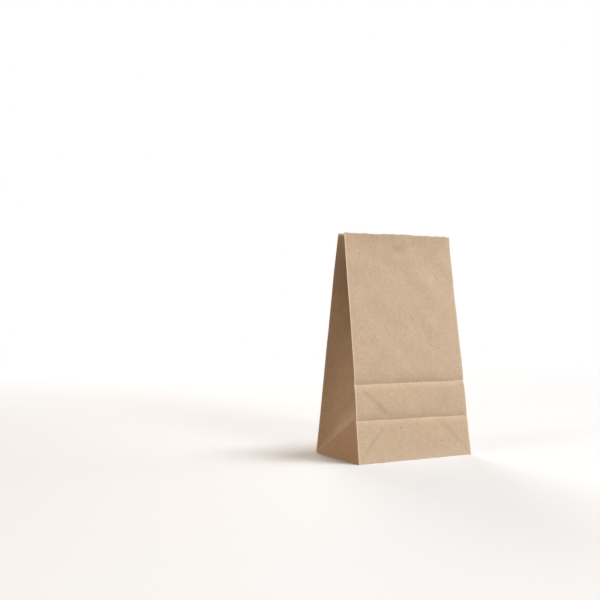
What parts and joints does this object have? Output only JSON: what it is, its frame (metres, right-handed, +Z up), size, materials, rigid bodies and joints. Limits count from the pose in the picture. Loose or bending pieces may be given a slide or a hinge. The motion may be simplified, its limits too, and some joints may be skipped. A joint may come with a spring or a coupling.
{
  "type": "paper lunch bag",
  "caption": "Block-bottom kraft paper bag with pleated sides, standing with a narrow open mouth and two pressed creases across its front.",
  "frame": {"origin": "middle of the base, at the level of the lowest bottom flap", "axes": "+Z up to the mouth, X along the bag's width, the creased front panel faces -Y and the seamed back panel faces +Y"},
  "size_m": [0.152, 0.093, 0.252],
  "materials": {
    "kraft_paper": "uncoated brown kraft paper, matte, with fine fibres and small dark flecks"
  },
  "bodies": {
    "root": {"paper_bag": "kraft_paper"}
  },
  "joints": []
}
